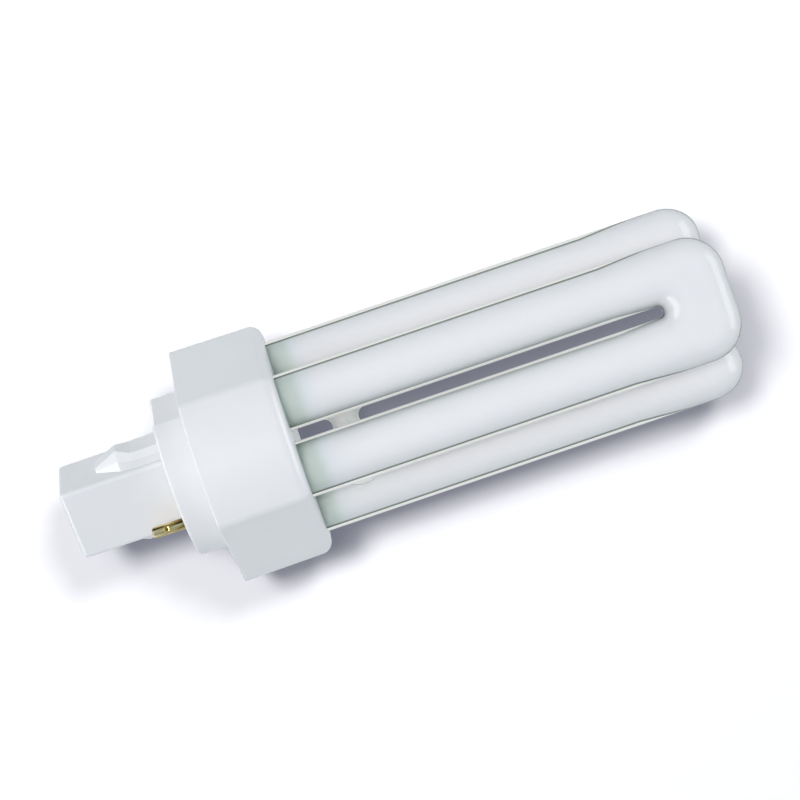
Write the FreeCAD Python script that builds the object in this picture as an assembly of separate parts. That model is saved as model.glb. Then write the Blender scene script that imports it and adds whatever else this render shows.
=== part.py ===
"""Plug-in fluorescent lamp: three U-bent tubes in a moulded collar, a starter post and two pins.

Millimetres. The lamp's axis is X, towards the ends of the tubes. The origin is the centre of the
seating face of the flange, and the front U lies level above the axis, with its outward normal +Z.
"""
import FreeCAD, Part
import math
import os

V = FreeCAD.Vector
X_AXIS = V(1, 0, 0)

# Glass tubes
tube_diameter = 12.0
limb_pitch = 14.4               # between the two limbs of one U
u_height = 13.3                 # from the lamp's axis to the middle plane of a U
tube_tip = 122.4                # outer end of the bends
gap_end = 107.5                 # where the gap between two limbs stops
bend_corner = 8.0               # outer corner of the squared bend, in plan
limb_end = 14.5                 # closed ends of the limbs, inside the collar
limb_end_round = 2.5
bridge_place = 37.9
bridge_diameter = 6.0
bridge_flare = 1.4              # rounded junction with the limbs
pinch_width = 9.0
pinch_thickness = 3.2
pinch_end = 10.8
pinch_edge = 1.0
pinch_root = 1.0                # of the pinch seal, inside the limb's end

# Collar
collar_start = 7.05             # post-side rim
collar_end = 27.1               # outer face of the tube plate
collar_radius = 25.6
collar_flat_depth = 3.3         # what each of the three flats takes off the radius
collar_corner = 3.0
collar_draft = 0.25             # narrower at the tube plate
collar_wall = 1.8
collar_rim = 2.6                # rounded edge round the tube plate
collar_lip = 0.4                # rounded edge at the open end
plate_thickness = 2.2
limb_clearance = 0.25           # round each limb in the tube plate
gusset_thickness = 1.4
gusset_reach = 3.0
gusset_start = 13.5

# Cap: shoulder, flange and post
shoulder_clearance = 0.12
shoulder_recess = 0.3
shoulder_thickness = 1.8
skirt_length = 3.4
skirt_wall = 1.3
bead_height = 0.3
bead_width = 0.8
bead_play = 0.05
flange_radius = 17.3
flange_flat_depth = 1.2         # what each of the two flats takes off the radius
flange_wall = 1.8
flange_edge = 0.6
key_recess = 0.6                # between each flat and the post, as wide as the flat
post_turn = 28.0                # degrees about the axis, from the front U
post_width = 16.0
post_thickness = 13.9
post_length = 23.2
post_wall = 1.3
post_edge = 0.8

# Latch on each narrow side of the post: a bevelled ramp and catch, then a rib to the flange.
# Each station: distance from the seating face, height, half width at the top, at the break and at the base
latch_stations = (
    (14.8, 0.9, 1.6, 1.8, 2.0),
    (9.6, 3.2, 1.5, 3.2, 5.0),
    (6.6, 2.3, 2.8, 3.9, 5.6),
    (0.0, 2.3, 2.8, 3.9, 5.6),
)
latch_break = 0.4               # height of the break in each side, as a share of the height
latch_root = 0.6                # below the post's face

# Contact pins
pin_diameter = 2.34
pin_circle = 24.0
pin_angle = 54.0                # of pin 1, from the front U's normal, towards -Y
pin_length = 7.4
pin_shank = 3.0                 # where it is pressed into the flange
pin_bore = 1.5
pin_tip = 1.0
pin_chamfer = 0.35
pin_head = 4.0
pin_head_thickness = 0.6
pin_hole_clearance = 0.02
crimp_place = 4.3
crimp_radius = 0.9
crimp_depth = 0.35
crimp_bore_clearance = 0.01     # round the lead, where the pin is crimped

# Starter, capacitor and wiring
starter_length = 17.0
starter_gap = 0.5               # to the closed end of the post
starter_dome = 0.8              # rounding of its end, as a share of its radius
starter_base = 0.25
capacitor_thickness = 3.9
capacitor_width = 8.6
capacitor_length = 11.0
capacitor_edge = 0.8
component_clearance = 0.3       # beside and between the starter and the capacitor
wire_diameter = 0.5
wire_bend = 0.8
wire_gap = 0.1                  # between a bend and the pinch seal above it
lead_spacing = 4.0              # between the two leads of a pinch seal
splice_start = 11.5
splice_length = 5.0
splice_diameter = 2.0
splice_bore = 1.4
splice_spread = 0.38            # of the three wires about the splice's axis
splice_spacing = 4.4
splice_turns = (45.0, 6.0)      # way from each splice to its electrode lead
sleeve_diameter = 1.2
sleeve_bore = 0.6
sleeve_setback = 1.6            # from the bends of its lead

# Cement beads
cement_length = 4.0
cement_top = 0.4
cement_clearance = 0.02

# Modelling allowances
tolerance = 1e-6
overrun = 1.0                   # of a cutter past the face that it opens

# Worked out from the sizes above
tube_radius = tube_diameter / 2
half_pitch = limb_pitch / 2
collar_flat = collar_radius - collar_flat_depth
flange_flat = flange_radius - flange_flat_depth
plate_inner = collar_end - plate_thickness
shoulder_start = collar_start + shoulder_recess
shoulder_end = shoulder_start + shoulder_thickness
post_inner_end = -post_length + post_wall
cavity_corner = collar_corner - collar_wall / 2
post_room = post_width - 2 * post_wall
starter_diameter = post_room - capacitor_thickness - 3 * component_clearance
starter_across = -post_room / 2 + component_clearance + starter_diameter / 2
capacitor_across = post_room / 2 - component_clearance - capacitor_thickness / 2
splice_middle = splice_start + splice_length / 2
lead_level = pinch_end - wire_bend - wire_gap - wire_diameter / 2      # of the leads that cross the flange's hollow


def turned(y, z, degrees):
    """A place in the cross-section turned about the lamp's axis, +Z towards +Y."""
    a = math.radians(degrees)
    return (y * math.cos(a) + z * math.sin(a), -y * math.sin(a) + z * math.cos(a))


def turn_shape(shape, degrees):
    """The shape turned about the lamp's axis in the same sense as turned()."""
    copy = shape.copy()
    copy.rotate(V(0, 0, 0), X_AXIS, -degrees)
    return copy


def rod(start, end, radius):
    """A round rod between two points."""
    return Part.makeCylinder(radius, start.distanceToPoint(end), start, end - start)


def fused(pieces):
    """One solid out of pieces that share faces or overlap."""
    return pieces[0].multiFuse(pieces[1:]).removeSplitter()


def only_solid(shape):
    """The single solid inside a result, without its compound."""
    return shape.Solids[0] if len(shape.Solids) == 1 else shape


def rim_edges(shape, x):
    """Edges of a shape that lie in the plane of one station."""
    def near(value):
        return abs(value - x) < tolerance
    return [e for e in shape.Edges if near(e.BoundBox.XMin) and near(e.BoundBox.XMax)]


def along_axis(edge, length):
    """True for an edge that runs the length of a piece, with or without draft."""
    return edge.BoundBox.XLength > length / 2


# Discharge tube

def half_disc(centre, outward):
    """Half of the tube's section: the flat side stands upright and the round side faces outward."""
    top = centre + V(0, 0, tube_radius)
    bottom = centre - V(0, 0, tube_radius)
    arc = Part.Arc(top, centre + outward * tube_radius, bottom).toShape()
    return Part.Face(Part.Wire([arc, Part.makeLine(bottom, top)]))


def bend_slab(bend_middle, cross_line, corner):
    """Level middle part of a squared bend, between the crests of the limbs, the cross part and the gap."""
    side = half_pitch
    low = -tube_radius
    r = corner * math.sqrt(0.5)
    corner_x = cross_line - corner
    corner_y = side - corner
    points = {
        "start": V(bend_middle, side, low),
        "side": V(corner_x, side, low),
        "left": V(corner_x + r, corner_y + r, low),
        "top": V(cross_line, corner_y, low),
    }
    mirror = {name: V(p.x, -p.y, p.z) for name, p in points.items()}
    edges = [
        Part.makeLine(points["start"], points["side"]),
        Part.Arc(points["side"], points["left"], points["top"]).toShape(),
        Part.makeLine(points["top"], mirror["top"]),
        Part.Arc(mirror["top"], mirror["left"], mirror["side"]).toShape(),
        Part.makeLine(mirror["side"], mirror["start"]),
        Part.Arc(mirror["start"], V(bend_middle + side, 0, low), points["start"]).toShape(),
    ]
    return Part.Face(Part.Wire(edges)).extrude(V(0, 0, tube_diameter))


def limb(side, start):
    """One straight limb, its closed end rounded."""
    bend_middle = gap_end - half_pitch + tube_radius
    tube = rod(V(start, side * half_pitch, 0), V(bend_middle, side * half_pitch, 0), tube_radius)
    return tube.makeFillet(limb_end_round, rim_edges(tube, start))


def u_tube():
    """One U with a squared bend, level, with its limbs along X at plus and minus half the pitch."""
    bend_middle = gap_end - half_pitch + tube_radius
    cross_line = tube_tip - tube_radius
    corner = bend_corner - tube_radius
    pieces = [limb(1, limb_end), limb(-1, limb_end), bend_slab(bend_middle, cross_line, corner)]
    inner = half_disc(V(bend_middle, -half_pitch, 0), V(0, 1, 0))
    pieces.append(inner.revolve(V(bend_middle, 0, 0), V(0, 0, 1), 180))
    corner_x = cross_line - corner
    corner_y = half_pitch - corner
    cross = half_disc(V(cross_line, -corner_y, 0), X_AXIS)
    pieces.append(cross.extrude(V(0, 2 * corner_y, 0)))
    for side in (1, -1):
        outer = half_disc(V(bend_middle, side * half_pitch, 0), V(0, side, 0))
        pieces.append(outer.extrude(V(corner_x - bend_middle, 0, 0)))
        turn = half_disc(V(corner_x, side * half_pitch, 0), V(0, side, 0))
        pieces.append(turn.revolve(V(corner_x, side * corner_y, 0), V(0, 0, 1), -side * 90))
    return fused(pieces)


def pinch_seal(y, z, tangent_degrees):
    """Flattened end of a limb that holds an electrode, with the section of a rounded bar."""
    length = limb_end + pinch_root - pinch_end
    corner = V(pinch_end, -pinch_width / 2, -pinch_thickness / 2)
    bar = Part.makeBox(length, pinch_width, pinch_thickness, corner)
    bar = bar.makeFillet(pinch_edge, [e for e in bar.Edges if along_axis(e, length)])
    bar = turn_shape(bar, tangent_degrees)
    bar.translate(V(0, y, z))
    return bar


def limb_places():
    """Place of each limb in the cross-section, in the order that the discharge runs through them."""
    places = []
    for turn in (120, 240, 0):
        places.append(turned(-half_pitch, u_height, turn))
        places.append(turned(half_pitch, u_height, turn))
    return places


def bridged(shape, a, b):
    """Two neighbouring limbs joined by a short tube that flares into them."""
    start = V(bridge_place, *a)
    end = V(bridge_place, *b)
    middle = (start + end) / 2
    joined = fused([shape, rod(start, end, bridge_diameter / 2)])
    reach = tube_radius + bridge_diameter / 2
    seams = []
    for edge in joined.Edges:
        centre = edge.BoundBox.Center
        size = edge.BoundBox.DiagonalLength
        if centre.distanceToPoint(middle) < reach and bridge_diameter / 2 < size < 2 * bridge_diameter:
            seams.append(edge)
    return joined.makeFillet(bridge_flare, seams)


def discharge_tube():
    """Three U tubes, two bridges and two pinch seals: one sealed bulb."""
    flat_u = u_tube()
    flat_u.translate(V(0, 0, u_height))
    places = limb_places()
    tube = fused([turn_shape(flat_u, turn) for turn in (0, 120, 240)])
    tube = bridged(tube, places[1], places[2])
    tube = bridged(tube, places[3], places[4])
    seals = [pinch_seal(*place, turn) for place, turn in ((places[0], 120), (places[5], 0))]
    return only_solid(fused([tube] + seals))


# Collar

def collar_outline(x, inset):
    """Closed outline of the collar at a station: a circle cut by three flats."""
    radius = collar_radius - inset
    flat = collar_flat - inset
    half_angle = math.degrees(math.acos(flat / radius))
    edges = []
    for direction in (60, 180, 300):
        a = turned(0, radius, direction - half_angle)
        b = turned(0, radius, direction + half_angle)
        c = turned(0, radius, direction + 60)
        d = turned(0, radius, direction + 120 - half_angle)
        edges.append(Part.makeLine(V(x, *a), V(x, *b)))
        edges.append(Part.Arc(V(x, *b), V(x, *c), V(x, *d)).toShape())
    return Part.Wire(edges)


def collar_block(start, end, inset, end_inset, corner):
    """Solid between two stations of the collar's outline, with its long corners rounded."""
    block = Part.makeLoft([collar_outline(start, inset), collar_outline(end, end_inset)], True, True)
    return block.makeFillet(corner, [e for e in block.Edges if along_axis(e, end - start)])


def tube_collar():
    """Moulded shell, open towards the cap, with a plate that the six limbs pass through."""
    shell = collar_block(collar_start, collar_end, 0, collar_draft, collar_corner)
    shell = shell.makeFillet(collar_rim, rim_edges(shell, collar_end))
    shell = shell.makeFillet(collar_lip, rim_edges(shell, collar_start))
    cavity = collar_block(collar_start - overrun, plate_inner, collar_wall, collar_wall + collar_draft, cavity_corner)
    shell = shell.cut(cavity)
    groove_start = shoulder_end + skirt_length - 2 * bead_width - bead_play
    groove_end = groove_start + bead_width + 2 * bead_play
    groove_inset = collar_wall - bead_height
    shell = shell.cut(collar_block(groove_start, groove_end, groove_inset, groove_inset, cavity_corner))
    ribs = []
    for direction in (0, 120, 240):
        top = collar_radius - collar_wall / 2
        corner = V(gusset_start, -gusset_thickness / 2, top - gusset_reach)
        length = plate_inner + plate_thickness / 2 - gusset_start
        rib = Part.makeBox(length, gusset_thickness, gusset_reach, corner)
        ribs.append(turn_shape(rib, direction))
    shell = shell.multiFuse(ribs)
    hole_radius = tube_radius + limb_clearance
    holes = []
    for place in limb_places():
        holes.append(rod(V(plate_inner - overrun, *place), V(collar_end + overrun, *place), hole_radius))
    return only_solid(shell.cut(holes[0].multiFuse(holes[1:])).removeSplitter())


# Cap

def flange_disc(start, end, inset):
    """Round disc with two flats across the post's width."""
    disc = rod(V(start, 0, 0), V(end, 0, 0), flange_radius - inset)
    reach = 2 * flange_radius
    width = 2 * (flange_flat - inset)
    bar = Part.makeBox(end - start, width, reach, V(start, -width / 2, -reach / 2))
    return turn_shape(disc.common(bar), -post_turn)


def post_box(start, end, inset):
    """Rectangular bar with the post's section, less an inset."""
    width = post_width - 2 * inset
    thickness = post_thickness - 2 * inset
    bar = Part.makeBox(end - start, width, thickness, V(start, -width / 2, -thickness / 2))
    edges = [e for e in bar.Edges if along_axis(e, end - start)]
    return bar, edges


def latch():
    """Bevelled ramp, catch and rib on the post's narrow side, joined straight from station to station."""
    face = post_width / 2
    sections = []
    for distance, height, top, middle, base in latch_stations:
        x = -distance if distance else flange_wall / 2
        half = [(base, -latch_root), (base, 0), (middle, latch_break * height), (top, height)]
        outline = half + [(-across, up) for across, up in reversed(half)]
        points = [V(x, face + up, across) for across, up in outline]
        sections.append(Part.makePolygon(points + points[:1]))
    return Part.makeLoft(sections, True, True)


def pin_places():
    """Places of the two pins, opposite each other on the pin circle."""
    return [turned(0, pin_circle / 2, -a) for a in (pin_angle, pin_angle + 180)]


def key_recesses():
    """Shallow recess in the seating face, from each flat of the flange to the post's narrow side."""
    width = 2 * math.sqrt(flange_radius ** 2 - flange_flat ** 2)
    corner = V(-overrun, post_width / 2, -width / 2)
    recess = Part.makeBox(overrun + key_recess, flange_radius - post_width / 2, width, corner)
    return [turn_shape(recess, side - post_turn) for side in (0, 180)]


def cap_body():
    """Shoulder that closes the collar, flange with the seating face, and hollow post with two latches."""
    inset = collar_wall + shoulder_clearance
    skirt_end = shoulder_end + skirt_length
    shoulder = collar_block(shoulder_start, shoulder_end, inset, inset, cavity_corner)
    skirt = collar_block(shoulder_end, skirt_end, inset, inset, cavity_corner)
    inner = inset + skirt_wall
    skirt = skirt.cut(collar_block(shoulder_end - overrun, skirt_end + overrun, inner, inner, cavity_corner))
    bead_start = skirt_end - 2 * bead_width
    bead_end = bead_start + bead_width
    bead = collar_block(bead_start, bead_end, inset - bead_height, inset - bead_height, cavity_corner)
    inner = inset + skirt_wall / 2
    bead = bead.cut(collar_block(bead_start - overrun, bead_end + overrun, inner, inner, cavity_corner))
    flange = flange_disc(0, shoulder_end - shoulder_thickness / 2, 0)
    flange = flange.makeFillet(flange_edge, rim_edges(flange, 0))
    flange = flange.cut(Part.makeCompound(key_recesses()))
    bar, edges = post_box(-post_length, flange_wall / 2, 0)
    ends = rim_edges(bar, -post_length)
    post = turn_shape(bar.makeFillet(post_edge, edges + ends), -post_turn)
    side = latch()
    latches = [turn_shape(side, -post_turn), turn_shape(side, 180 - post_turn)]
    body = fused([shoulder, skirt, bead, flange, post] + latches)
    hollow = flange_disc(flange_wall, shoulder_end + overrun, flange_wall)
    room, edges = post_box(post_inner_end, flange_wall + overrun, post_wall)
    room = turn_shape(room.makeFillet(post_edge / 2, edges), -post_turn)
    hole_radius = pin_shank / 2 + pin_hole_clearance
    holes = [rod(V(-overrun, *p), V(flange_wall + overrun, *p), hole_radius) for p in pin_places()]
    return only_solid(body.cut(hollow.multiFuse([room] + holes)).removeSplitter())


def contact_pin(place, side):
    """Hollow brass pin with a chamfered tip, an inner head and a crimp dimple on one side."""
    y, z = place
    radius = pin_diameter / 2
    inner_end = flange_wall + pin_head_thickness
    profile = [
        V(-pin_length, 0, 0),
        V(-pin_length, radius - pin_chamfer, 0),
        V(-pin_length + pin_chamfer, radius, 0),
        V(0, radius, 0),
        V(0, pin_shank / 2, 0),
        V(flange_wall, pin_shank / 2, 0),
        V(flange_wall, pin_head / 2, 0),
        V(inner_end, pin_head / 2, 0),
        V(inner_end, pin_bore / 2, 0),
        V(-crimp_place + crimp_radius, pin_bore / 2, 0),
        V(-crimp_place, wire_diameter / 2 + crimp_bore_clearance, 0),
        V(-pin_length + pin_tip, wire_diameter / 2 + crimp_bore_clearance, 0),
        V(-pin_length + pin_tip, 0, 0),
    ]
    pin = Part.Face(Part.makePolygon(profile + profile[:1])).revolve(V(0, 0, 0), X_AXIS, 360)
    reach = radius + crimp_radius - crimp_depth
    pin = pin.cut(Part.makeSphere(crimp_radius, V(-crimp_place, 0, side * reach)))
    pin.translate(V(0, y, z))
    return only_solid(pin)


# Starter, capacitor and wiring

def bent_wire(points):
    """Round wire along straight runs joined by tangent arcs."""
    edges = []
    start = points[0]
    for before, corner, after in zip(points, points[1:], points[2:]):
        back = (before - corner).normalize()
        ahead = (after - corner).normalize()
        half = back.getAngle(ahead) / 2
        cut = wire_bend / math.tan(half)
        middle = (back + ahead).normalize()
        arc_start = corner + back * cut
        arc_end = corner + ahead * cut
        arc_middle = corner + middle * (wire_bend / math.sin(half) - wire_bend)
        edges.append(Part.makeLine(start, arc_start))
        edges.append(Part.Arc(arc_start, arc_middle, arc_end).toShape())
        start = arc_end
    edges.append(Part.makeLine(start, points[-1]))
    path = Part.Wire(edges)
    section = Part.Wire([Part.makeCircle(wire_diameter / 2, points[0], points[1] - points[0])])
    return path.makePipeShell([section], True, False)


def post_place(across, through):
    """A place given in the post's own directions: across its width, and through its thickness."""
    return turned(across, through, -post_turn)


def splice_places():
    """Axes of the two splices, inside the collar above the starter."""
    return [post_place(starter_across, side * splice_spacing / 2) for side in (1, -1)]


def splice_wire_place(number, wire):
    """Place of one of the three wires inside a splice."""
    y, z = splice_places()[number]
    a = math.radians(splice_turns[number] + 120 * (wire + 1))
    return (y + splice_spread * math.cos(a), z + splice_spread * math.sin(a))


def starter_bulb():
    """Glow starter: small sealed glass bulb with a domed end and two leads to the splices."""
    radius = starter_diameter / 2
    y, z = post_place(starter_across, 0)
    start = post_inner_end + starter_gap
    end = start + starter_length
    glass = rod(V(start, y, z), V(end, y, z), radius)
    glass = glass.makeFillet(starter_dome * radius, rim_edges(glass, start))
    glass = glass.makeFillet(starter_base * radius, rim_edges(glass, end))
    leads = []
    for number in (0, 1):
        place = splice_wire_place(number, 0)
        leads.append(rod(V(end - overrun, *place), V(splice_middle, *place), wire_diameter / 2))
    return only_solid(fused([glass] + leads))


def starter_capacitor():
    """Film capacitor beside the starter, with two leads to the splices."""
    start = post_inner_end + starter_gap
    end = start + capacitor_length
    corner = V(start, capacitor_across - capacitor_thickness / 2, -capacitor_width / 2)
    block = Part.makeBox(capacitor_length, capacitor_thickness, capacitor_width, corner)
    block = turn_shape(block.makeFillet(capacitor_edge, block.Edges), -post_turn)
    leads = []
    for number, side in ((0, 1), (1, -1)):
        exit_place = post_place(capacitor_across, side * splice_spacing / 2)
        place = splice_wire_place(number, 1)
        level = flange_wall + wire_bend + wire_diameter
        points = [V(end - overrun, *exit_place), V(level, *exit_place), V(level, *place), V(splice_middle, *place)]
        leads.append(bent_wire(points))
    return only_solid(fused([block] + leads))


def lead_start(electrode, side):
    """Where a lead leaves a pinch seal."""
    places = limb_places()
    place, turn = ((places[5], 0), (places[0], 120))[electrode]
    dy, dz = turned(side * lead_spacing / 2, 0, turn)
    return (place[0] + dy, place[1] + dz)


def pin_lead(electrode, side, pin):
    """Lead from a pinch seal into a pin's bore, through the crimp."""
    start = lead_start(electrode, side)
    end = pin_places()[pin]
    past_crimp = -crimp_place - crimp_radius
    return bent_wire([V(pinch_end, *start), V(lead_level, *start), V(lead_level, *end), V(past_crimp, *end)])


def splice_lead(electrode, side, splice):
    """Lead from a pinch seal into a splice."""
    start = lead_start(electrode, side)
    end = splice_wire_place(splice, 2)
    return bent_wire([V(pinch_end, *start), V(lead_level, *start), V(lead_level, *end), V(splice_middle, *end)])


def lead_sleeve(electrode, side, pin):
    """Insulating sleeve on the straight crossing of a lead to a pin."""
    a = V(lead_level, *lead_start(electrode, side))
    b = V(lead_level, *pin_places()[pin])
    way = (b - a).normalize()
    outer = rod(a + way * sleeve_setback, b - way * sleeve_setback, sleeve_diameter / 2)
    return only_solid(outer.cut(rod(a, b, sleeve_bore / 2)))


def lead_splice(number):
    """Ferrule crimped over three wires."""
    place = splice_places()[number]
    splice_end = splice_start + splice_length
    outer = rod(V(splice_start, *place), V(splice_end, *place), splice_diameter / 2)
    bore = rod(V(splice_start - overrun, *place), V(splice_end + overrun, *place), splice_bore / 2)
    return only_solid(outer.cut(bore))


def limb_cement(place):
    """Tapering bead round a limb, on the inner face of the tube plate."""
    inner = tube_radius + cement_clearance
    foot = half_pitch - cement_clearance
    profile = [
        V(plate_inner, inner, 0),
        V(plate_inner, foot, 0),
        V(plate_inner - cement_length, inner + cement_top, 0),
        V(plate_inner - cement_length, inner, 0),
    ]
    bead = Part.Face(Part.makePolygon(profile + profile[:1])).revolve(V(0, 0, 0), X_AXIS, 360)
    bead.translate(V(0, *place))
    return only_solid(bead)


def build():
    """Every piece by its node name."""
    pieces = {
        "discharge_tube": discharge_tube(),
        "tube_collar": tube_collar(),
        "cap_body": cap_body(),
        "starter_bulb": starter_bulb(),
        "starter_capacitor": starter_capacitor(),
        "electrode_lead_1": pin_lead(0, -1, 0),
        "electrode_lead_2": splice_lead(0, 1, 0),
        "electrode_lead_3": pin_lead(1, 1, 1),
        "electrode_lead_4": splice_lead(1, -1, 1),
        "lead_sleeve_1": lead_sleeve(0, -1, 0),
        "lead_sleeve_2": lead_sleeve(1, 1, 1),
        "lead_splice_1": lead_splice(0),
        "lead_splice_2": lead_splice(1),
    }
    for number, place in enumerate(pin_places(), 1):
        pieces["contact_pin_%d" % number] = contact_pin(place, 3 - 2 * number)
    for number, place in enumerate(limb_places(), 1):
        pieces["limb_cement_%d" % number] = limb_cement(place)
    return pieces


os.makedirs("parts", exist_ok=True)
for node, shape in build().items():
    shape.exportStep("parts/%s.step" % node)
    print(node, shape.ShapeType, len(shape.Solids), "valid" if shape.isValid() else "not valid",
          round(shape.Volume, 1))
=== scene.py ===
import bpy
import math
from mathutils import Matrix, Vector


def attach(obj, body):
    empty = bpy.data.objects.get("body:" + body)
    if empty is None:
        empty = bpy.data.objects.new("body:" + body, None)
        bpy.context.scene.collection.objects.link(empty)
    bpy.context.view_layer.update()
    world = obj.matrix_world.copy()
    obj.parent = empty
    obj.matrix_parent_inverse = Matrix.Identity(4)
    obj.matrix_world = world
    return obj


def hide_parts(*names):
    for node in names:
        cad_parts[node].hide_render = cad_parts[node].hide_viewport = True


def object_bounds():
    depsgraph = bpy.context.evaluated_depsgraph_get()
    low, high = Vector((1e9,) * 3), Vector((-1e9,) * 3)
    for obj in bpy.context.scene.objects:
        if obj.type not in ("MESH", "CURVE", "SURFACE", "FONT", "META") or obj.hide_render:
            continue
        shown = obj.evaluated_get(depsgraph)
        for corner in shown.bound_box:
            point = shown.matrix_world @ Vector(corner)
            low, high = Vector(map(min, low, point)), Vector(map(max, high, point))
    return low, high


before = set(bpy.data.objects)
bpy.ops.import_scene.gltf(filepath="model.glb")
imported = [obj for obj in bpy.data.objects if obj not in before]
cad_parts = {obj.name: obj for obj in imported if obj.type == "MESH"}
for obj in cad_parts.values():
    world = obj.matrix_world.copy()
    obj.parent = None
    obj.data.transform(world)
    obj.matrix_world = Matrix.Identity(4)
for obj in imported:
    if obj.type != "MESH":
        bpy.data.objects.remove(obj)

cad_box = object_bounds()
MM = 0.001

# Sizes are in millimetres and angles in degrees, unless a comment says otherwise

# Glass, as in the part
TUBE_RADIUS = 6.0
HALF_PITCH = 7.2
U_HEIGHT = 13.3
TUBE_TIP = 122.4
GAP_END = 107.5
BEND_CORNER = 8.0
LIMB_END = 14.5
BRIDGE_PLACE = 37.9
TURNED_US = (120, 240)                  # the two Us that are copies of the front one
GLASS_CUTS = (20, 30, 45, 60, 75, 90, 100, 105)
SMOOTH_GLASS = 60                       # edges sharper than this stay sharp

# Making of one U
ROUNDING_STEPS = 12
SLOT_OVERRUN = 5                        # the slot's cutter past the slab
SLOT_PLAY = 0.01                        # flat left at the slot's end
RIM_PLAY = 0.02                         # flat left between the two rounded rims

# Phosphor lining: a wall's width inside the limbs, and closer to the glass on the bend
LINING_INSET = 0.6
LINING_START = LIMB_END + 1
LINING_GAP_END = GAP_END + 0.9
LINING_NEARS = 0.48
LINING_NEARS_FROM = 96
LINING_NEARS_OVER = 12
LINING_CUTS = (30, 96, 100, 104, 107)

# Bridges: name, turn about the axis, radius, and depth below the line through the limbs
BRIDGES = (("bridge_rear", 180, 3.0, 0.0), ("bridge_lower", 300, 2.4, 1.2))
BRIDGE_REACH = 3.6                      # each way, into the limbs
BRIDGE_FLARE = 1.9                      # radius of the rounding where it meets a limb
FLARE_IN_DEPTH = 0.3                    # share of the flare away from the lamp's axis
BRIDGE_SIDES = 64
BRIDGE_CUTS = 12                        # each way
SMOOTH_BRIDGE = 40


# Camera: it looks down on the lamp as it lies

PICTURE_WIDTH = 800                     # pixels
FOCAL_LENGTH = 2119.5                   # pixels
SENSOR_WIDTH = 36
CAMERA_TURN = (-1.22, 0.79, 18.73)
CAMERA_AIM = Vector((55.2, 0, 0)) * MM
AIM_SEEN_FROM_CAMERA = Vector((4.64, 1.25, -450)) * MM


def add_camera():
    data = bpy.data.cameras.new("camera")
    camera = bpy.data.objects.new("camera", data)
    bpy.context.collection.objects.link(camera)
    rx, ry, rz = (math.radians(degrees) for degrees in CAMERA_TURN)
    turn = Matrix.Rotation(rz, 3, "Z") @ Matrix.Rotation(ry, 3, "Y") @ Matrix.Rotation(rx, 3, "X")
    place = CAMERA_AIM - turn.transposed() @ AIM_SEEN_FROM_CAMERA
    camera.matrix_world = Matrix.Translation(place) @ turn.transposed().to_4x4()
    data.sensor_width = SENSOR_WIDTH
    data.lens = FOCAL_LENGTH / PICTURE_WIDTH * SENSOR_WIDTH
    data.clip_start = 0.01
    data.clip_end = 10
    bpy.context.scene.camera = camera


# Modelling helpers

def select_only(*objects):
    """Leaves only these objects selected, the last one active."""
    bpy.ops.object.select_all(action="DESELECT")
    for item in objects:
        item.select_set(True)
    bpy.context.view_layer.objects.active = objects[-1]


def select_edges(item, wanted):
    """In edit mode, selects the edges whose two ends the test accepts."""
    bpy.ops.object.mode_set(mode="EDIT")
    bpy.ops.mesh.select_mode(type="EDGE")
    bpy.ops.mesh.select_all(action="DESELECT")
    bpy.ops.object.mode_set(mode="OBJECT")
    points = item.data.vertices
    for edge in item.data.edges:
        a, b = (points[i].co for i in edge.vertices)
        edge.select = wanted(a, b)
    bpy.ops.object.mode_set(mode="EDIT")


def round_selected(radius):
    """Rounds the selected edges and leaves edit mode."""
    bpy.ops.mesh.bevel(offset=radius * MM, segments=ROUNDING_STEPS, affect="EDGES", clamp_overlap=False)
    bpy.ops.object.mode_set(mode="OBJECT")


def round_upright_corners(item, beyond, radius):
    """Rounds the upright edges of a block that lie past a place along X."""
    limit = beyond * MM
    select_edges(item, lambda a, b: abs(a.z - b.z) > 1e-4 and a.x > limit and b.x > limit)
    round_selected(radius)


def round_rim(item, height, radius):
    """Rounds the edges that run round a slab's face at this height."""
    level = height * MM
    select_edges(item, lambda a, b: abs(a.z - level) < 1e-6 and abs(b.z - level) < 1e-6)
    round_selected(radius)


def block(name, low, high):
    """A cube between two corners, with its place in its mesh."""
    middle = [(a + b) / 2 * MM for a, b in zip(low, high)]
    size = [(b - a) * MM for a, b in zip(low, high)]
    bpy.ops.object.select_all(action="DESELECT")
    bpy.ops.mesh.primitive_cube_add(size=1, location=middle, scale=size)
    item = bpy.context.object
    item.name = name
    bpy.ops.object.transform_apply(location=True, rotation=True, scale=True)
    return item


def cut_across(item, places, way=(1, 0, 0)):
    """Cuts a piece's faces at these places along one way, so that each stays short."""
    select_only(item)
    bpy.ops.object.mode_set(mode="EDIT")
    for place in places:
        bpy.ops.mesh.select_all(action="SELECT")
        bpy.ops.mesh.bisect(plane_co=Vector(way) * place * MM, plane_no=way)
    bpy.ops.mesh.select_all(action="SELECT")
    bpy.ops.mesh.normals_make_consistent(inside=False)
    bpy.ops.object.mode_set(mode="OBJECT")


def turn_about_axis(item, degrees):
    """Turns a piece's mesh about the lamp's axis, from +Z towards +Y."""
    item.data.transform(Matrix.Rotation(-math.radians(degrees), 4, "X"))


def shade_smooth(item, degrees):
    select_only(item)
    bpy.ops.object.shade_smooth_by_angle(angle=math.radians(degrees))


# Glass, lining and bridges

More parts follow.
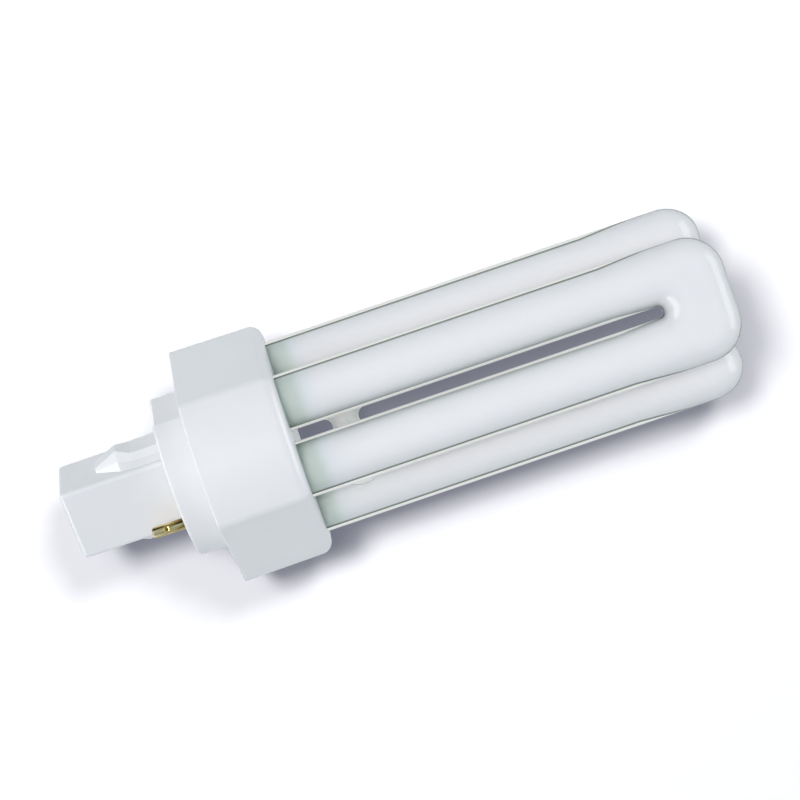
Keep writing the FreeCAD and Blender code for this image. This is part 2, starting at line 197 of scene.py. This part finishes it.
def u_form(name, inset, slot_end, start):
    """One U: a slab with a slot, its rims rounded until the two limbs are round tubes."""
    radius = TUBE_RADIUS - inset
    reach = HALF_PITCH + radius
    low, high = U_HEIGHT - radius, U_HEIGHT + radius
    slab = block(name, (start, -reach, low), (TUBE_TIP - inset, reach, high))
    round_upright_corners(slab, slot_end, BEND_CORNER - inset / 2)
    half_slot = HALF_PITCH - radius
    slot = block(name + "_slot", (start - SLOT_OVERRUN, -half_slot, low - SLOT_OVERRUN),
                 (slot_end, half_slot, high + SLOT_OVERRUN))
    round_upright_corners(slot, start, half_slot - SLOT_PLAY)
    cut = slab.modifiers.new("slot", "BOOLEAN")
    cut.operation = "DIFFERENCE"
    cut.solver = "EXACT"
    cut.object = slot
    select_only(slab)
    bpy.ops.object.modifier_apply(modifier="slot")
    bpy.data.objects.remove(slot)
    for height in (low, high):
        round_rim(slab, height, radius - RIM_PLAY)
    return slab


def three_turned(first, name):
    """Copies a U twice round the lamp's axis and joins the three."""
    all_three = [first]
    for degrees in TURNED_US:
        copy = first.copy()
        copy.data = first.data.copy()
        bpy.context.collection.objects.link(copy)
        turn_about_axis(copy, degrees)
        all_three.append(copy)
    select_only(*all_three[1:], first)
    bpy.ops.object.join()
    first.name = name
    first.data.name = name
    return first


def glass_tubes():
    """The outer wall of the three Us."""
    first = u_form("glass_u", 0, GAP_END, LIMB_END)
    cut_across(first, GLASS_CUTS)
    return three_turned(first, "glass_tubes")


def phosphor_lining():
    """The coating inside the three Us."""
    first = u_form("lining_u", LINING_INSET, LINING_GAP_END, LINING_START)
    cut_across(first, LINING_CUTS)
    points = first.data.vertices
    outward = [point.normal.copy() for point in points]
    for point, way in zip(points, outward):
        on_bend = min(1, max(0, (point.co.x / MM - LINING_NEARS_FROM) / LINING_NEARS_OVER))
        point.co += way * (LINING_NEARS * MM * on_bend)
    return three_turned(first, "phosphor_lining")


def bridge(name, degrees, radius, depth):
    """Short tube fused across between two Us, flared where it meets them."""
    limb_from_axis = math.hypot(HALF_PITCH, U_HEIGHT)
    limb_angle = math.atan2(HALF_PITCH, U_HEIGHT)
    height = limb_from_axis * math.cos(math.radians(60) - limb_angle) - depth
    centre = Vector((BRIDGE_PLACE, 0, height)) * MM
    bpy.ops.object.select_all(action="DESELECT")
    bpy.ops.mesh.primitive_cylinder_add(
        vertices=BRIDGE_SIDES, radius=radius * MM, depth=2 * BRIDGE_REACH * MM,
        end_fill_type="NGON", location=centre, rotation=(math.radians(90), 0, 0))
    item = bpy.context.object
    item.name = name
    bpy.ops.object.transform_apply(location=True, rotation=True, scale=True)
    steps = range(1 - BRIDGE_CUTS, BRIDGE_CUTS)
    cut_across(item, [step * BRIDGE_REACH / BRIDGE_CUTS for step in steps], (0, 1, 0))
    for point in item.data.vertices:
        along = min(abs(point.co.y) / MM, BRIDGE_FLARE)
        flare = (BRIDGE_FLARE - math.sqrt(BRIDGE_FLARE ** 2 - along ** 2)) / radius
        away = point.co - centre
        away.x *= 1 + flare
        away.z *= 1 + FLARE_IN_DEPTH * flare
        point.co = centre + away
    turn_about_axis(item, degrees)
    shade_smooth(item, SMOOTH_BRIDGE)
    return item


# Helpers for the finishes

def new_material(name):
    material = bpy.data.materials.new(name)
    material.use_nodes = True
    nodes = material.node_tree.nodes
    shader = nodes["Principled BSDF"]
    return material, nodes, material.node_tree.links, shader


def object_coordinates(nodes):
    return nodes.new("ShaderNodeTexCoord").outputs["Object"]


def axes_of(nodes, links, vector):
    """The outputs X, Y and Z of a vector."""
    node = nodes.new("ShaderNodeSeparateXYZ")
    links.new(vector, node.inputs["Vector"])
    return node.outputs


def ramp(nodes, links, source, stops, ease="EASE"):
    """Colour ramp through the stops, each a place and a colour or grey."""
    node = nodes.new("ShaderNodeValToRGB")
    node.color_ramp.interpolation = ease
    marks = node.color_ramp.elements
    while len(marks) < len(stops):
        marks.new(0.5)
    for mark, (place, value) in zip(marks, stops):
        mark.position = place
        mark.color = (*value, 1) if isinstance(value, tuple) else (value, value, value, 1)
    links.new(source, node.inputs["Fac"])
    return node.outputs["Color"]


def scaled_range(nodes, links, source, low, high):
    """0 at low and 1 at high."""
    node = nodes.new("ShaderNodeMapRange")
    node.inputs["From Min"].default_value = low
    node.inputs["From Max"].default_value = high
    links.new(source, node.inputs["Value"])
    return node.outputs["Result"]


def noise(nodes, links, coordinates, scale, detail=3.0):
    node = nodes.new("ShaderNodeTexNoise")
    node.inputs["Scale"].default_value = scale
    node.inputs["Detail"].default_value = detail
    links.new(coordinates, node.inputs["Vector"])
    return node.outputs["Fac"]


def bump(nodes, links, height, shader, strength, distance):
    node = nodes.new("ShaderNodeBump")
    node.inputs["Strength"].default_value = strength
    node.inputs["Distance"].default_value = distance
    links.new(height, node.inputs["Height"])
    links.new(node.outputs["Normal"], shader.inputs["Normal"])


def math_node(nodes, links, operation, *values):
    """A Math node; each value is a number or another node's output."""
    node = nodes.new("ShaderNodeMath")
    node.operation = operation
    for socket, value in zip(node.inputs, values):
        if isinstance(value, (int, float)):
            socket.default_value = value
        else:
            links.new(value, socket)
    return node.outputs["Value"]


def mixed(nodes, links, share, first, second):
    """Mix of two shaders by a share."""
    node = nodes.new("ShaderNodeMixShader")
    links.new(share, node.inputs["Fac"])
    links.new(first, node.inputs[1])
    links.new(second, node.inputs[2])
    return node.outputs[0]


def mixed_colours(nodes, links, share, first, second):
    """Mix of two colours by a share."""
    node = nodes.new("ShaderNodeMix")
    node.data_type = "RGBA"
    links.new(share, node.inputs["Factor"])
    links.new(first, node.inputs[6])
    links.new(second, node.inputs[7])
    return node.outputs[2]


def facing(nodes):
    """Layer weight: 0 where the surface faces the eye and 1 where it turns away."""
    node = nodes.new("ShaderNodeLayerWeight")
    node.inputs["Blend"].default_value = 0.5
    return node


# Glass finish

COATING_STARTS = 0.0276                 # metres along the lamp
COATING_FULL = 0.0361                   # metres along the lamp
COATING_RAGGED = 0.0022                 # metres
BEND_STARTS = 0.097                     # metres along the lamp
BEND_FULL = 0.109                       # metres along the lamp
EDGE_LOST_ON_BEND = 0.44                # there the lining reaches out to the wall's edge
GAP_SIDE_ENDS = 24                      # round the lamp's axis, from the middle of a gap
GAP_SIDE_FULL = 15

# The clear wall by how far it turns away: the lining's rim shows at one place, and the bare wall past it
# glows with painted light
LINING_RIM = 0.568
LINE_ON_OUTER_SIDE = (
    (0.0, (0.995, 1.0, 0.995)), (0.45, (0.97, 0.98, 0.97)), (0.49, (0.33, 0.38, 0.31)),
    (LINING_RIM, (0.27, 0.32, 0.25)), (0.582, (0.86, 0.89, 0.86)), (0.60, (0.98, 0.99, 0.98)))
BAND_BESIDE_GAP = (
    (0.0, (0.995, 1.0, 0.995)), (0.22, (0.98, 0.99, 0.98)), (0.40, (0.87, 0.90, 0.87)),
    (0.53, (0.85, 0.89, 0.85)), (LINING_RIM, (0.66, 0.71, 0.66)), (0.60, (0.98, 0.99, 0.98)))
# Share of painted glow on the bare wall, by how far the wall turns away
BARE_WALL_PAINTED_GLOW = ((LINING_RIM, 0.0), (0.585, 0.8))


def facing_round_limb(nodes, links):
    """How far the wall turns away round its limb: 0 in the middle and 1 at the edges.
    It is the same however the limb lies, so the bare edge keeps its width seen along the lamp."""
    limb_axis = nodes.new("ShaderNodeCombineXYZ")
    limb_axis.inputs["X"].default_value = 1
    lengthwise = facing(nodes)
    links.new(limb_axis.outputs["Vector"], lengthwise.inputs["Normal"])
    towards = math_node(nodes, links, "SUBTRACT", 1.0, facing(nodes).outputs["Facing"])
    along = math_node(nodes, links, "SUBTRACT", 1.0, lengthwise.outputs["Facing"])
    along_squared = math_node(nodes, links, "MULTIPLY", along, along)
    across_squared = math_node(nodes, links, "SUBTRACT", 1.0, along_squared)
    across = math_node(nodes, links, "SQRT", math_node(nodes, links, "MAXIMUM", across_squared, 0.01))
    towards_round_limb = math_node(nodes, links, "DIVIDE", towards, across)
    turned_away = math_node(nodes, links, "SUBTRACT", 1.0, towards_round_limb)
    return math_node(nodes, links, "MAXIMUM", turned_away, 0.0)


def beside_gap(nodes, links, axes):
    """1 on the side of each limb that faces the gap of its own U, and 0 on its outer side."""
    sixth = math.radians(60)
    round_axis = math_node(nodes, links, "ARCTAN2", axes["Y"], axes["Z"])
    from_gap = math_node(nodes, links, "WRAP", round_axis, sixth, -sixth)
    off_gap = math_node(nodes, links, "ABSOLUTE", from_gap)
    return scaled_range(nodes, links, off_gap, math.radians(GAP_SIDE_ENDS), math.radians(GAP_SIDE_FULL))


def clear_glass():
    """Thin clear glass over the lining: a green line on the outer side of each limb, a soft band
    beside the gap, and past them a strip of bare wall that glows with painted light, bright over any
    background."""
    material, nodes, links, shader = new_material("clear_glass")
    nodes.remove(shader)
    axes = axes_of(nodes, links, object_coordinates(nodes))
    on_bend = scaled_range(nodes, links, axes["X"], BEND_STARTS, BEND_FULL)
    edge_left = math_node(nodes, links, "MULTIPLY_ADD", on_bend, -EDGE_LOST_ON_BEND, 1.0)
    turned_away = math_node(nodes, links, "MULTIPLY", facing_round_limb(nodes, links), edge_left)
    line = ramp(nodes, links, turned_away, LINE_ON_OUTER_SIDE, "LINEAR")
    band = ramp(nodes, links, turned_away, BAND_BESIDE_GAP, "LINEAR")
    strip = ramp(nodes, links, turned_away, BARE_WALL_PAINTED_GLOW, "LINEAR")
    over_lining = nodes.new("ShaderNodeBsdfTransparent")
    tint = mixed_colours(nodes, links, beside_gap(nodes, links, axes), line, band)
    links.new(tint, over_lining.inputs["Color"])
    # Painted light: the bare wall glows on its own and stays white whatever lies behind it
    painted_glow_wall = nodes.new("ShaderNodeEmission")
    painted_glow_wall.inputs["Color"].default_value = (0.95, 0.965, 0.935, 1)
    wall = mixed(nodes, links, strip, over_lining.outputs[0], painted_glow_wall.outputs[0])
    gloss = nodes.new("ShaderNodeBsdfGlossy")
    gloss.inputs["Roughness"].default_value = 0.17
    fresnel = nodes.new("ShaderNodeFresnel")
    fresnel.inputs["IOR"].default_value = 1.45
    surface = mixed(nodes, links, fresnel.outputs[0], wall, gloss.outputs[0])
    ray = nodes.new("ShaderNodeLightPath").outputs
    lights_lining = math_node(nodes, links, "MAXIMUM", ray["Is Shadow Ray"], ray["Is Diffuse Ray"])
    let_through = nodes.new("ShaderNodeBsdfTransparent")
    glass = mixed(nodes, links, lights_lining, surface, let_through.outputs[0])
    links.new(glass, nodes["Material Output"].inputs["Surface"])
    return material


def phosphor_coating():
    """White phosphor that thins out to greenish bare glass next to the collar."""
    material, nodes, links, shader = new_material("phosphor_coating")
    place = object_coordinates(nodes)
    along = axes_of(nodes, links, place)["X"]
    ragged = math_node(nodes, links, "MULTIPLY_ADD", noise(nodes, links, place, 90), COATING_RAGGED, along)
    thickness = scaled_range(nodes, links, ragged, COATING_STARTS, COATING_FULL)
    tone = ramp(nodes, links, thickness, (
        (0.0, (0.50, 0.58, 0.53)), (0.35, (0.58, 0.65, 0.61)), (0.75, (0.76, 0.79, 0.81)),
        (1.0, (0.80, 0.805, 0.82))))
    links.new(tone, shader.inputs["Base Color"])
    shader.inputs["Roughness"].default_value = 0.6
    shader.inputs["Specular IOR Level"].default_value = 0.1
    shader.inputs["Subsurface Weight"].default_value = 0.8
    shader.inputs["Subsurface Radius"].default_value = (1, 1, 1)
    shader.inputs["Subsurface Scale"].default_value = 0.006
    return material


def bridge_glass():
    """Pale greenish glass of the bridges, coated inside, with a faint painted glow that keeps it pale
    where it lies in shade.
    """
    material, nodes, links, shader = new_material("bridge_glass")
    mottle = noise(nodes, links, object_coordinates(nodes), 320)
    tone = ramp(nodes, links, mottle, ((0.36, (0.72, 0.79, 0.72)), (0.55, (0.88, 0.90, 0.88))))
    links.new(tone, shader.inputs["Base Color"])
    shader.inputs["Roughness"].default_value = 0.4
    shader.inputs["Subsurface Weight"].default_value = 1.0
    shader.inputs["Subsurface Radius"].default_value = (1, 1, 1)
    shader.inputs["Subsurface Scale"].default_value = 0.006
    # Painted light: the bridge glows faintly in its own tone, though it is no lamp
    links.new(tone, shader.inputs["Emission Color"])
    shader.inputs["Emission Strength"].default_value = 0.2
    return material


# Finishes of the cap, the pins and the inner pieces

def white_moulding():
    """Satin white moulded plastic with a very faint unevenness."""
    material, nodes, links, shader = new_material("white_moulding")
    place = object_coordinates(nodes)
    tone = ramp(nodes, links, noise(nodes, links, place, 60), (
        (0.3, (0.80, 0.815, 0.825)), (0.7, (0.83, 0.84, 0.85))))
    links.new(tone, shader.inputs["Base Color"])
    shader.inputs["Roughness"].default_value = 0.34
    shader.inputs["Coat Weight"].default_value = 0.3
    shader.inputs["Coat Roughness"].default_value = 0.12
    bump(nodes, links, noise(nodes, links, place, 900, 2), shader, 0.08, 0.0001)
    return material


def pin_brass():
    """Drawn brass whose colour holds painted reflection: dark and bright streaks along the pin, with the
    same noise bumping the surface into fine drawn streaks.
    """
    material, nodes, links, shader = new_material("pin_brass")
    stretch = nodes.new("ShaderNodeMapping")
    stretch.inputs["Scale"].default_value = (0.12, 1, 1)
    links.new(object_coordinates(nodes), stretch.inputs["Vector"])
    drawn_streaks_and_painted_reflection = noise(nodes, links, stretch.outputs["Vector"], 1500)
    # Painted reflection: near-black and pale gold bands in the colour stand in for reflected surroundings
    tone = ramp(nodes, links, drawn_streaks_and_painted_reflection, (
        (0.36, (0.07, 0.05, 0.015)), (0.46, (0.42, 0.30, 0.09)), (0.55, (0.80, 0.60, 0.25)),
        (0.66, (1, 0.90, 0.62))))
    links.new(tone, shader.inputs["Base Color"])
    shader.inputs["Metallic"].default_value = 1.0
    shader.inputs["Roughness"].default_value = 0.15
    bump(nodes, links, drawn_streaks_and_painted_reflection, shader, 0.3, 0.0002)
    return material


def plain_inner(name, dark, light, roughness, scale, metallic=0.0):
    """Finish of a piece inside the cap: two close tones in a fine mottle."""
    material, nodes, links, shader = new_material(name)
    place = object_coordinates(nodes)
    tone = ramp(nodes, links, noise(nodes, links, place, scale), ((0.3, dark), (0.7, light)))
    links.new(tone, shader.inputs["Base Color"])
    shader.inputs["Roughness"].default_value = roughness
    shader.inputs["Metallic"].default_value = metallic
    bump(nodes, links, noise(nodes, links, place, scale * 4), shader, 0.1, 0.0001)
    return material


def give(item, material):
    item.data.materials.clear()
    item.data.materials.append(material)


# Build

add_camera()

glass = glass_tubes()
shade_smooth(glass, SMOOTH_GLASS)
give(glass, clear_glass())
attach(glass, "root")
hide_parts("discharge_tube")

lining = phosphor_lining()
shade_smooth(lining, SMOOTH_GLASS)
give(lining, phosphor_coating())
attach(lining, "root")

bridge_finish = bridge_glass()
for name, degrees, radius, depth in BRIDGES:
    item = bridge(name, degrees, radius, depth)
    give(item, bridge_finish)
    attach(item, "root")

moulding = white_moulding()
brass = pin_brass()
starter_glass = plain_inner("starter_glass", (0.55, 0.60, 0.58), (0.70, 0.74, 0.72), 0.1, 90)
resin = plain_inner("capacitor_resin", (0.55, 0.28, 0.06), (0.70, 0.40, 0.10), 0.3, 200)
sleeving = plain_inner("glass_fibre_sleeving", (0.70, 0.66, 0.55), (0.86, 0.82, 0.72), 0.8, 2500)
tinned_metal = plain_inner("tinned_metal", (0.50, 0.50, 0.49), (0.70, 0.70, 0.69), 0.35, 600, 1.0)
cement = plain_inner("limb_cement", (0.68, 0.64, 0.56), (0.82, 0.79, 0.72), 0.9, 700)
FINISHES = {                            # by a piece's name without its number
    "tube_collar": moulding, "cap_body": moulding, "contact_pin": brass,
    "starter_bulb": starter_glass, "starter_capacitor": resin, "lead_sleeve": sleeving,
    "electrode_lead": tinned_metal, "lead_splice": tinned_metal, "discharge_tube": tinned_metal,
    "limb_cement": cement,
}
for name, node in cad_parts.items():
    give(node, FINISHES[name.rstrip("_0123456789")])


# Floor, light and background, with places and sizes in metres and powers in watts

FLOOR_SIZE = 8
TUBES_MIDDLE = (0.05, 0, 0)
LAMP_MIDDLE = (0.06, 0, 0)
FLOOR_AIM = (0.05, 0, -0.02)
BEND_TOP = (0.11, 0, 0.017)
ROOM_LAMPS = (                          # name, place, aim, size, power, colour
    ("key", (-0.12, 0.03, 1.25), TUBES_MIDDLE, 0.5, 8.0, (1.0, 0.91, 0.86)),
    ("side", (0.95, 0.05, 0.45), LAMP_MIDDLE, 0.4, 1.8, (1.0, 0.95, 0.92)),
    ("fill", (-0.85, 0.05, 0.45), LAMP_MIDDLE, 0.4, 1.6, (1.0, 0.95, 0.92)),
)
FLOOR_LAMPS = (                         # name, place, size, power; they light the floor alone
    ("floor_left", (-0.308, 0.225, 1.23), 0.3, 73),
    ("floor_middle", (-0.19, 0.185, 1.23), 0.5, 28),
    ("floor_right", (0.448, 0.393, 1.23), 0.3, 53),
)
REFLECTED_STRIPS = (                    # name, place, width, height, power; only their reflections show
    ("strip_left", (-0.73, 0.02, 0.32), 2.0, 0.45, 14),
    ("strip_right", (0.95, 0.02, 0.14), 0.9, 0.5, 4.5),
)


def matt_and_glow(nodes, links, grey, glow, strength):
    """Matt grey with a faint glow of its own."""
    matt = nodes.new("ShaderNodeBsdfDiffuse")
    matt.inputs["Color"].default_value = (grey, grey, grey, 1)
    light = nodes.new("ShaderNodeEmission")
    light.inputs["Color"].default_value = (*glow, 1)
    light.inputs["Strength"].default_value = strength
    both = nodes.new("ShaderNodeAddShader")
    links.new(matt.outputs[0], both.inputs[0])
    links.new(light.outputs[0], both.inputs[1])
    return both.outputs[0]


def floor_white():
    """White ground: a soft bounce for the pieces, its own look for the eye, plain white in reflections."""
    material, nodes, links, shader = new_material("floor_white")
    nodes.remove(shader)
    bounce = matt_and_glow(nodes, links, 0.06, (0.9, 0.95, 1), 0.15)
    view = matt_and_glow(nodes, links, 0.10, (0.90, 0.94, 1.25), 0.148)
    white = nodes.new("ShaderNodeEmission")
    white.inputs["Color"].default_value = (0.80, 0.84, 0.86, 1)
    ray = nodes.new("ShaderNodeLightPath").outputs
    mirrored = math_node(nodes, links, "MAXIMUM", ray["Is Glossy Ray"], ray["Is Transmission Ray"])
    straight = mixed(nodes, links, ray["Is Camera Ray"], bounce, view)
    ground = mixed(nodes, links, mirrored, straight, white.outputs[0])
    links.new(ground, nodes["Material Output"].inputs["Surface"])
    return material


def add_floor():
    bpy.ops.object.select_all(action="DESELECT")
    bpy.ops.mesh.primitive_plane_add(size=FLOOR_SIZE, location=(0.05, 0, cad_box[0].z))
    floor = bpy.context.object
    floor.name = "floor"
    give(floor, floor_white())
    return floor


def add_light(name, place, target, size, power, color=(1, 1, 1)):
    """Round area lamp that shows in no reflection."""
    data = bpy.data.lights.new(name, "AREA")
    data.shape = "DISK"
    data.size = size
    data.energy = power
    data.color = color
    lamp = bpy.data.objects.new(name, data)
    bpy.context.collection.objects.link(lamp)
    place = Vector(place)
    lamp.location = place
    lamp.rotation_euler = (Vector(target) - place).to_track_quat("-Z", "Y").to_euler()
    lamp.visible_glossy = False
    return lamp


floor_only = bpy.data.collections.new("floor_only")
floor_only.objects.link(add_floor())
for name, place, target, size, power, color in ROOM_LAMPS:
    add_light(name, place, target, size, power, color)
for name, place, size, power in FLOOR_LAMPS:
    lamp = add_light(name, place, FLOOR_AIM, size, power)
    lamp.light_linking.receiver_collection = floor_only
for name, place, width, height, power in REFLECTED_STRIPS:
    strip = add_light(name, place, BEND_TOP, width, power)
    strip.data.shape = "RECTANGLE"
    strip.data.size_y = height
    strip.visible_glossy = True
    strip.visible_diffuse = False

world = bpy.data.worlds.new("studio")
bpy.context.scene.world = world
world.use_nodes = True
background = world.node_tree.nodes["Background"]
background.inputs["Color"].default_value = (0.75, 0.88, 1, 1)
background.inputs["Strength"].default_value = 0.50
bpy.context.scene.view_settings.view_transform = "Standard"
